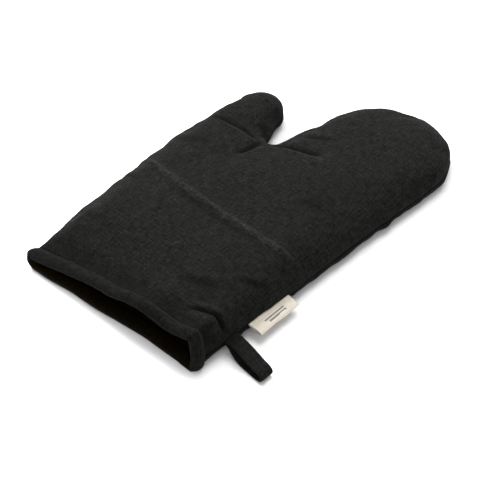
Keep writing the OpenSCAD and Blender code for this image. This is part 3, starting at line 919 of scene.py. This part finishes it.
def hem():
    """Points, faces, flat pattern, and the painted highlight and painted shade of the rolled band."""
    stations = mouth_stations(1.3 * MM)
    count = len(stations)
    middle = mouth_surface(stations, HEM_MIDDLE)
    along = unit(np.roll(middle, -1, axis=0) - np.roll(middle, 1, axis=0))
    away = np.stack([-along[:, 2], np.zeros(count), along[:, 0]], axis=1)
    away *= np.sign((away * (middle - [0, 0, SEAM_Z])).sum(1).mean())
    for _ in range(4):
        away = (np.roll(away, 1, axis=0) + 2 * away + np.roll(away, -1, axis=0)) / 4
    away = unit(away)
    run = run_along(middle)
    puff = np.array([noise.noise(Vector((r / (8 * MM), 3.1, 0))) for r in run])
    sway = np.array([noise.noise(Vector((r / (24 * MM), 8.4, 0))) for r in run])
    # The strip's end overlaps its start at the lower right corner
    corner = run[np.argmax(middle[:, 0] - middle[:, 2])]
    lap = np.exp(-(((run - corner - 7 * MM) / (6 * MM)) ** 8))
    # The lower side lies further back in the middle, and further out at the left
    x = middle[:, 0] / MM
    set_back = 2.2 * np.exp(-(((x - 30) / 34) ** 2)) - 1.4 * smooth(-1 - x / 35)
    set_back *= smooth((SEAM_Z - middle[:, 2]) / (6 * MM))
    rows = []
    for k, (y, depth) in enumerate(HEM_PROFILE):
        bulge = math.sin(math.pi * k / (len(HEM_PROFILE) - 1))
        surface = mouth_surface(stations, max(y, 0) * MM)
        lift = (-depth + bulge * (0.8 * puff + 0.7 * sway) + 1.2 * lap * (k < LAPPED)) * MM
        p = surface + away * lift[:, None]
        ripple = (1.1 * sway + 0.4 * puff) * (k < RIPPLED)
        p[:, 1] = (y + set_back + ripple - 0.2 * lap * (k < DRAWN_OUT)) * MM
        p[:, 2] = np.maximum(p[:, 2], 0.1 * MM)
        rows.append(p)
    points = np.concatenate(rows)
    faces = []
    n = len(HEM_PROFILE)
    for k in range(n):
        for i in range(count):
            a, b = k * count + i, k * count + (i + 1) % count
            c, d = ((k + 1) % n) * count + i, ((k + 1) % n) * count + (i + 1) % count
            faces.append((a, b, d, c))
    steps = [math.dist(HEM_PROFILE[i], HEM_PROFILE[i + 1]) for i in range(n - 1)]
    widths = np.concatenate([[0], np.cumsum(steps)])
    pattern = np.concatenate([np.column_stack([run, np.full(count, w * MM)]) for w in widths])
    # Painted light on the band: a painted highlight along its crest, painted shade at its back edge by
    # the groove behind it, and the whole band darker
    band_highlight_and_shade = [math.exp(-(((k - 4.5) / 3) ** 2)) - 0.9 * math.exp(-(k**2)) for k in range(n)]
    return points, faces, pattern, np.repeat(band_highlight_and_shade, count) * 0.35 - 0.6


def hem_pieces():
    points, faces, pattern, tone_and_painted_light = hem()
    piece = new_piece("cuff_hem_band", points, faces, OUTER, pattern, slot="outer_cotton", tone_and_painted_light=tone_and_painted_light)
    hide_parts("cuff_hem")
    piece.data.materials.append(LINING)
    turned_in = len(piece.data.polygons) * TURNED_IN // len(HEM_PROFILE)
    for face in piece.data.polygons[turned_in:]:
        face.material_index = 1
    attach(piece, "cuff")

    stations = mouth_stations(0.5 * MM)
    line = mouth_surface(stations, TOPSTITCH_ROW)
    line[:, 2] = np.maximum(line[:, 2], 0.45 * MM)
    length = run_along(line)
    stitches = []
    for start in np.arange(0, length[-1] - STITCH_PITCH, STITCH_PITCH):
        at = start + np.linspace(0, STITCH, 5)
        path = np.stack([np.interp(at, length, line[:, k]) for k in range(3)], axis=1)
        stitches.append(tube(path, STITCH_R))
    points, faces = joined(stitches)
    piece = new_piece("hem_topstitching", points, faces, THREAD, points[:, :2], slot="thread")
    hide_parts("hem_topstitch")
    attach(piece, "cuff")


SEAM_INSET, SEAM_THREAD_R = 2.6 * MM, 0.4 * MM


def seam_threads():
    q, inward = outline(1.5 * MM)
    path = np.column_stack([q + inward * SEAM_INSET, np.full(len(q), SEAM_Z)])
    which = section_of(path)
    for k, name in enumerate(SECTIONS):
        index = np.flatnonzero(which == k)
        runs = np.split(index, np.flatnonzero(np.diff(index) > 1) + 1)
        points, faces = joined([tube(path[r], SEAM_THREAD_R) for r in runs])
        strand = f"seam_thread_strand_{name}"
        piece = new_piece(strand, points, faces, THREAD, points[:, :2], slot="thread")
        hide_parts(*[f"seam_thread_{n}" for n in SECTIONS[name]["nodes"]])
        bend(piece)


# ---- The loop and the label, caught in the side seam ----
def tape(path, width, thickness, root, across=9, ruffle=0.0, lean=0.0):
    """A flat tape of even width along a path drawn as (outwards, up) from a place on the seam, with a
    ruffled face and leaning towards the cuff. Its length is returned too."""
    path = np.asarray(path, float)
    length = run_along(path)
    along = unit(np.gradient(path, axis=0))
    up = np.stack([-along[:, 1], along[:, 0]], axis=1)
    half = [(-0.96, 1)] + [(t, 1) for t in np.linspace(-0.85, 0.85, across)] + [(0.96, 1)]
    edge = np.array([(-1, 0)] + half + [(1, 0)] + [(t, -1) for t, _ in half[::-1]])
    points, pattern = [], []
    for p, n, run in zip(path, up, length):
        for w, h in edge:
            wave = ruffle * noise.noise(Vector((run / 0.011, w * 1.3, 2.2)))
            bow = 0.12 * thickness * (1 - w * w) * h
            place = p + n * (h * thickness / 2 * (0.82 if abs(w) > 0.9 else 1) + bow + wave)
            sideways = w * width / 2
            x = place[0] * math.cos(lean)
            y = sideways - place[0] * math.sin(lean)
            points.append((root[0] + x, root[1] + y, root[2] + place[1]))
            pattern.append((sideways, run + (width if h < 0 else 0)))
    return np.array(points), swept_faces(len(path), len(edge)), np.array(pattern), length[-1]


def seam_x(y):
    """Where a tape leaves the right side seam."""
    q = dense_outline()
    side = q[(q[:, 0] > 0) & (q[:, 1] < 200 * MM)]
    order = np.argsort(side[:, 1])
    return float(np.interp(y, side[order, 1], side[order, 0])) - SEAM_TUCK


def caught_in_seam(piece, y):
    """Bakes the piece's place into its mesh; its root lies in the side seam."""
    x, row = seam_x(y), y - LENGTH / 2
    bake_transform(piece)


def hanging_loop():
    y, width, thickness = 34 * MM, 12 * MM, 1.5 * MM
    rest = (thickness / 2 + 0.5 * MM - SEAM_Z) / MM     # where the lower leaf lies, just over the table
    way = [
        (-2.0, -0.8), (3, -2.6), (7.5, -6.4), (12, -8.7), (18, rest), (26, rest), (32, rest + 0.3),
        (35.5, rest + 1.2), (37.0, rest + 3.2), (36.2, rest + 5.3), (33.4, rest + 6.6),
        (28, -2.6), (21, -1.1), (14, 0.5), (7, 1.3), (2.5, 1.35), (-2.0, 1.0),
    ]
    path = np.array(curved(way, 5)) * MM
    root = (seam_x(y), y, SEAM_Z)
    lean_back = math.radians(9)
    points, faces, pattern, run = tape(path, width, thickness, root, ruffle=0.35 * MM, lean=lean_back)
    piece = new_piece("hanging_loop_tape", points, faces, OUTER, pattern, slot="outer_cotton")
    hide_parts("hanging_loop")
    caught_in_seam(piece, y)

    # Two zigzag rows across the root, on the upper leaf
    bars = []
    for x in (1.6, 3.0):
        zigzag = [((x + 0.5 * (k % 2)) * MM, (k / 13 - 0.5) * (width - 3 * MM)) for k in range(14)]
        path = [(root[0] + u, y + v - 0.15 * u, SEAM_Z + 2.3 * MM) for u, v in zigzag]
        bars.append(tube(path, 0.28 * MM))
    points, faces = joined(bars)
    piece = new_piece("loop_bar_tack_thread", points, faces, THREAD, points[:, :2], slot="thread")
    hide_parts("loop_bar_tack")
    caught_in_seam(piece, y)


def side_label():
    y, width, thickness = 71 * MM, 40 * MM, 0.35 * MM
    droop = math.radians(14)
    flat_way = [
        (-2.0, 0.35), (2, 0.8), (5, 1.15), (7.4, 1.05), (9.2, 0.65), (9.9, 0.0),
        (9.2, -0.6), (7, -0.8), (4.5, -0.85), (2, -0.75), (-2.0, -0.35),
    ]
    c, s = math.cos(droop), math.sin(droop)
    way = [(a * c + b * s, -a * s + b * c) for a, b in flat_way]
    path = np.array(curved(way, 5)) * MM
    root = (seam_x(y + width / 2) + 0.2 * MM, y, SEAM_Z)
    points, faces, pattern, run = tape(path, width, thickness, root, across=25, ruffle=0.5 * MM)
    piece = new_piece("side_label_tape", points, faces, LABEL, pattern, slot="label_tape")
    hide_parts("side_label")
    caught_in_seam(piece, y)
    piece.data.materials.append(MARK)
    stripes(piece, root)

    count, pitch, stitch = 16, 2.5 * MM, 1.5 * MM
    x, z = root[0] + 1.7 * MM, SEAM_Z + 0.75 * MM
    stitches = []
    for k in range(count):
        start = y + (k - (count - 1) / 2) * pitch
        stitches.append(tube([(x, start + t * stitch, z) for t in np.linspace(0, 1, 4)], 0.16 * MM))
    points, faces = joined(stitches)
    piece = new_piece("label_stitch_row", points, faces, LABEL_THREAD, points[:, :2], slot="label_thread")
    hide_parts("label_stitches")
    caught_in_seam(piece, y)


# Where the label's two lines lie, outwards and along the seam from its middle, in mm
LABEL_LINES = [((3.2, 4.5), (-10.5, 10.5)), ((5.6, 6.9), (-6.5, 9.5))]


def stripes(piece, root):
    """Two plain woven lines along the label in place of any wording."""
    for face in piece.data.polygons:
        x = (face.center.x - root[0]) / MM
        y = (face.center.y + LENGTH / 2 - root[1]) / MM
        marked = any(x0 < x < x1 and y0 < y < y1 for (x0, x1), (y0, y1) in LABEL_LINES)
        if marked and face.normal.z > 0.3:
            face.material_index = 1


# ---- Table, camera and light ----
TABLE_HEIGHT, TABLE_SIZE = -0.2 * MM, 6
CAMERA_AT, CAMERA_AIM = (0.56196, -0.65568, 0.74773), (0.01331, -0.03554, 0.00219)
CAMERA_ANGLE = 17.88        # degrees across the picture
WORLD_LIGHT = 0.6
# (name, place, diameter, power), all aimed at the mitt
LAMPS = [
    ("key", (-1.05, 0.2, 1.0), 0.6, 38),
    ("fill", (0.9, -0.9, 1.2), 1.6, 7),
    ("top", (0.0, 0.2, 1.8), 1.2, 22),
]


def table():
    bpy.ops.mesh.primitive_plane_add(size=TABLE_SIZE, location=(0, 0, TABLE_HEIGHT))
    plane = bpy.context.object
    plane.name = "table_top"
    m, _, bsdf = principled("white table", (0.93, 0.93, 0.93), 0.7)
    bsdf.inputs["Specular IOR Level"].default_value = 0.1
    plane.data.materials.append(m)


def area_light(name, place, size, power):
    data = bpy.data.lights.new(name, "AREA")
    data.shape = "DISK"
    data.size = size
    data.energy = power
    light = bpy.data.objects.new(name, data)
    light.location = place
    light.rotation_euler = (-Vector(place)).to_track_quat("-Z", "Y").to_euler()
    bpy.context.scene.collection.objects.link(light)


def camera_and_lights():
    scene = bpy.context.scene
    data = bpy.data.cameras.new("camera")
    data.lens_unit = "FOV"
    data.angle = math.radians(CAMERA_ANGLE)
    camera = bpy.data.objects.new("camera", data)
    camera.location = CAMERA_AT
    camera.rotation_euler = (Vector(CAMERA_AIM) - camera.location).to_track_quat("-Z", "Y").to_euler()
    scene.collection.objects.link(camera)
    scene.camera = camera
    for lamp in LAMPS:
        area_light(*lamp)
    scene.world = bpy.data.worlds.new("studio")
    scene.world.use_nodes = True
    background = scene.world.node_tree.nodes["Background"]
    background.inputs["Color"].default_value = (1, 1, 1, 1)
    background.inputs["Strength"].default_value = WORLD_LIGHT
    scene.view_settings.view_transform = "Standard"


# ---- The mitt ----
PANEL_STEP, SOFT_STEP = 1.8 * MM, 3.2 * MM  # spacing of points in the shell, and in wadding and lining
WADDING_DEPTH, LINING_DEPTH = 1.4 * MM, 6.0 * MM

table()
faces_of_mitt = {
    "upper": (panel(True, PANEL_STEP), panel(True, SOFT_STEP, spread=2.0)),
    "lower": (panel(False, PANEL_STEP), panel(False, SOFT_STEP, spread=2.0)),
}
moved_cover = simulated_cover()
for sheets in faces_of_mitt.values():
    for sheet in sheets:
        settle(sheet, moved_cover)
for side, (sheet, _) in faces_of_mitt.items():
    cloth_layers("shell", sheet, side, 0.0, SHELL_T, OUTER, "outer_cotton")
for side, (_, sheet) in faces_of_mitt.items():
    cloth_layers("wadding", sheet, side, WADDING_DEPTH, WADDING_T, WADDING, "wadding", pad=0.4)
    cloth_layers("lining", sheet, side, LINING_DEPTH, LINING_T, LINING, "lining_cotton")
hem_pieces()
seam_threads()
hanging_loop()
side_label()
camera_and_lights()
